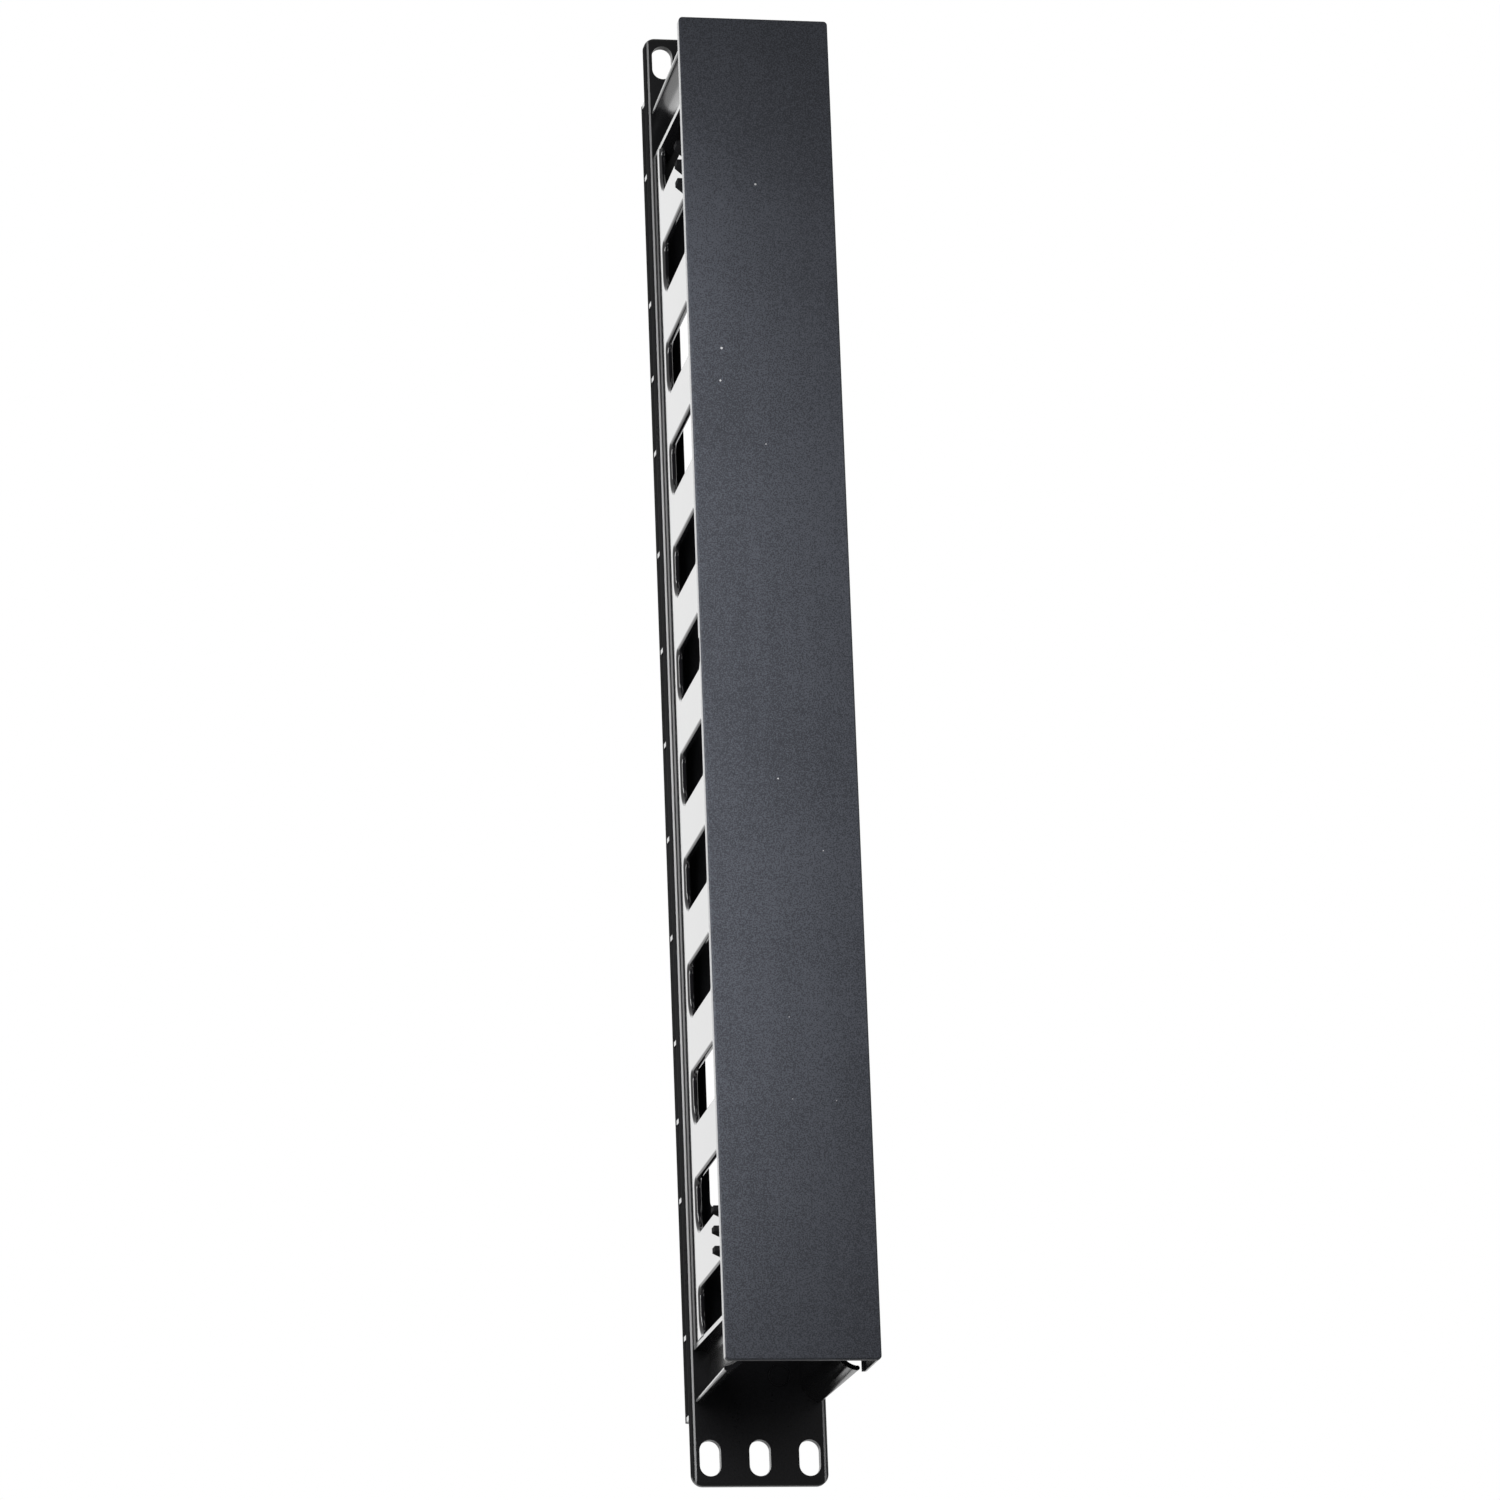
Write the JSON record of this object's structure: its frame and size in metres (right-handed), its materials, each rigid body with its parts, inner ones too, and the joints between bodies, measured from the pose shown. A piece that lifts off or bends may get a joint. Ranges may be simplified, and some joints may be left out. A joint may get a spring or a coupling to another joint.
{
  "type": "vertical cable manager",
  "caption": "Slotted plastic finger duct with rack ears, flared cable guides at both ends and a hinged snap cover.",
  "frame": {"origin": "centre of the ears' rear mounting plane, midway between the two ears", "axes": "+Z along the duct, upwards as in the picture; -Y towards the cover; X across the duct, with the cover's hinge at +X"},
  "size_m": [0.0492, 0.0866, 0.4826],
  "materials": {
    "base_plastic": "fine grained satin",
    "cover_plastic": "fine grained satin"
  },
  "bodies": {
    "base": {"mounting_plate": "base_plastic", "rear_rail_left": "base_plastic", "rear_rail_right": "base_plastic", "edge_ribs_left": "base_plastic", "edge_ribs_right": "base_plastic", "cross_ribs": "base_plastic", "side_sill_left": "base_plastic", "side_sill_right": "base_plastic", "finger_left_01": "base_plastic", "finger_left_02": "base_plastic", "finger_left_03": "base_plastic", "finger_left_04": "base_plastic", "finger_left_05": "base_plastic", "finger_left_06": "base_plastic", "finger_left_07": "base_plastic", "finger_left_08": "base_plastic", "finger_left_09": "base_plastic", "finger_left_10": "base_plastic", "finger_left_11": "base_plastic", "finger_right_01": "base_plastic", "finger_right_02": "base_plastic", "finger_right_03": "base_plastic", "finger_right_04": "base_plastic", "finger_right_05": "base_plastic", "finger_right_06": "base_plastic", "finger_right_07": "base_plastic", "finger_right_08": "base_plastic", "finger_right_09": "base_plastic", "finger_right_10": "base_plastic", "finger_right_11": "base_plastic", "end_guide_left_top": "base_plastic", "end_guide_left_bottom": "base_plastic", "end_guide_right_top": "base_plastic", "end_guide_right_bottom": "base_plastic", "catch_teeth_left_top": "base_plastic", "catch_teeth_left_bottom": "base_plastic", "catch_teeth_right_top": "base_plastic", "catch_teeth_right_bottom": "base_plastic"},
    "cover": {"cover_panel": "cover_plastic", "cover_latch_skirt": "cover_plastic", "cover_hinge_skirt": "cover_plastic"}
  },
  "joints": [
    {"name": "cover_hinge", "type": "hinge", "parent": "base", "child": "cover", "pos_m": [0.02297, -0.059, 0], "axis": [0, 0, 1], "range_deg": [0, 110]}
  ]
}
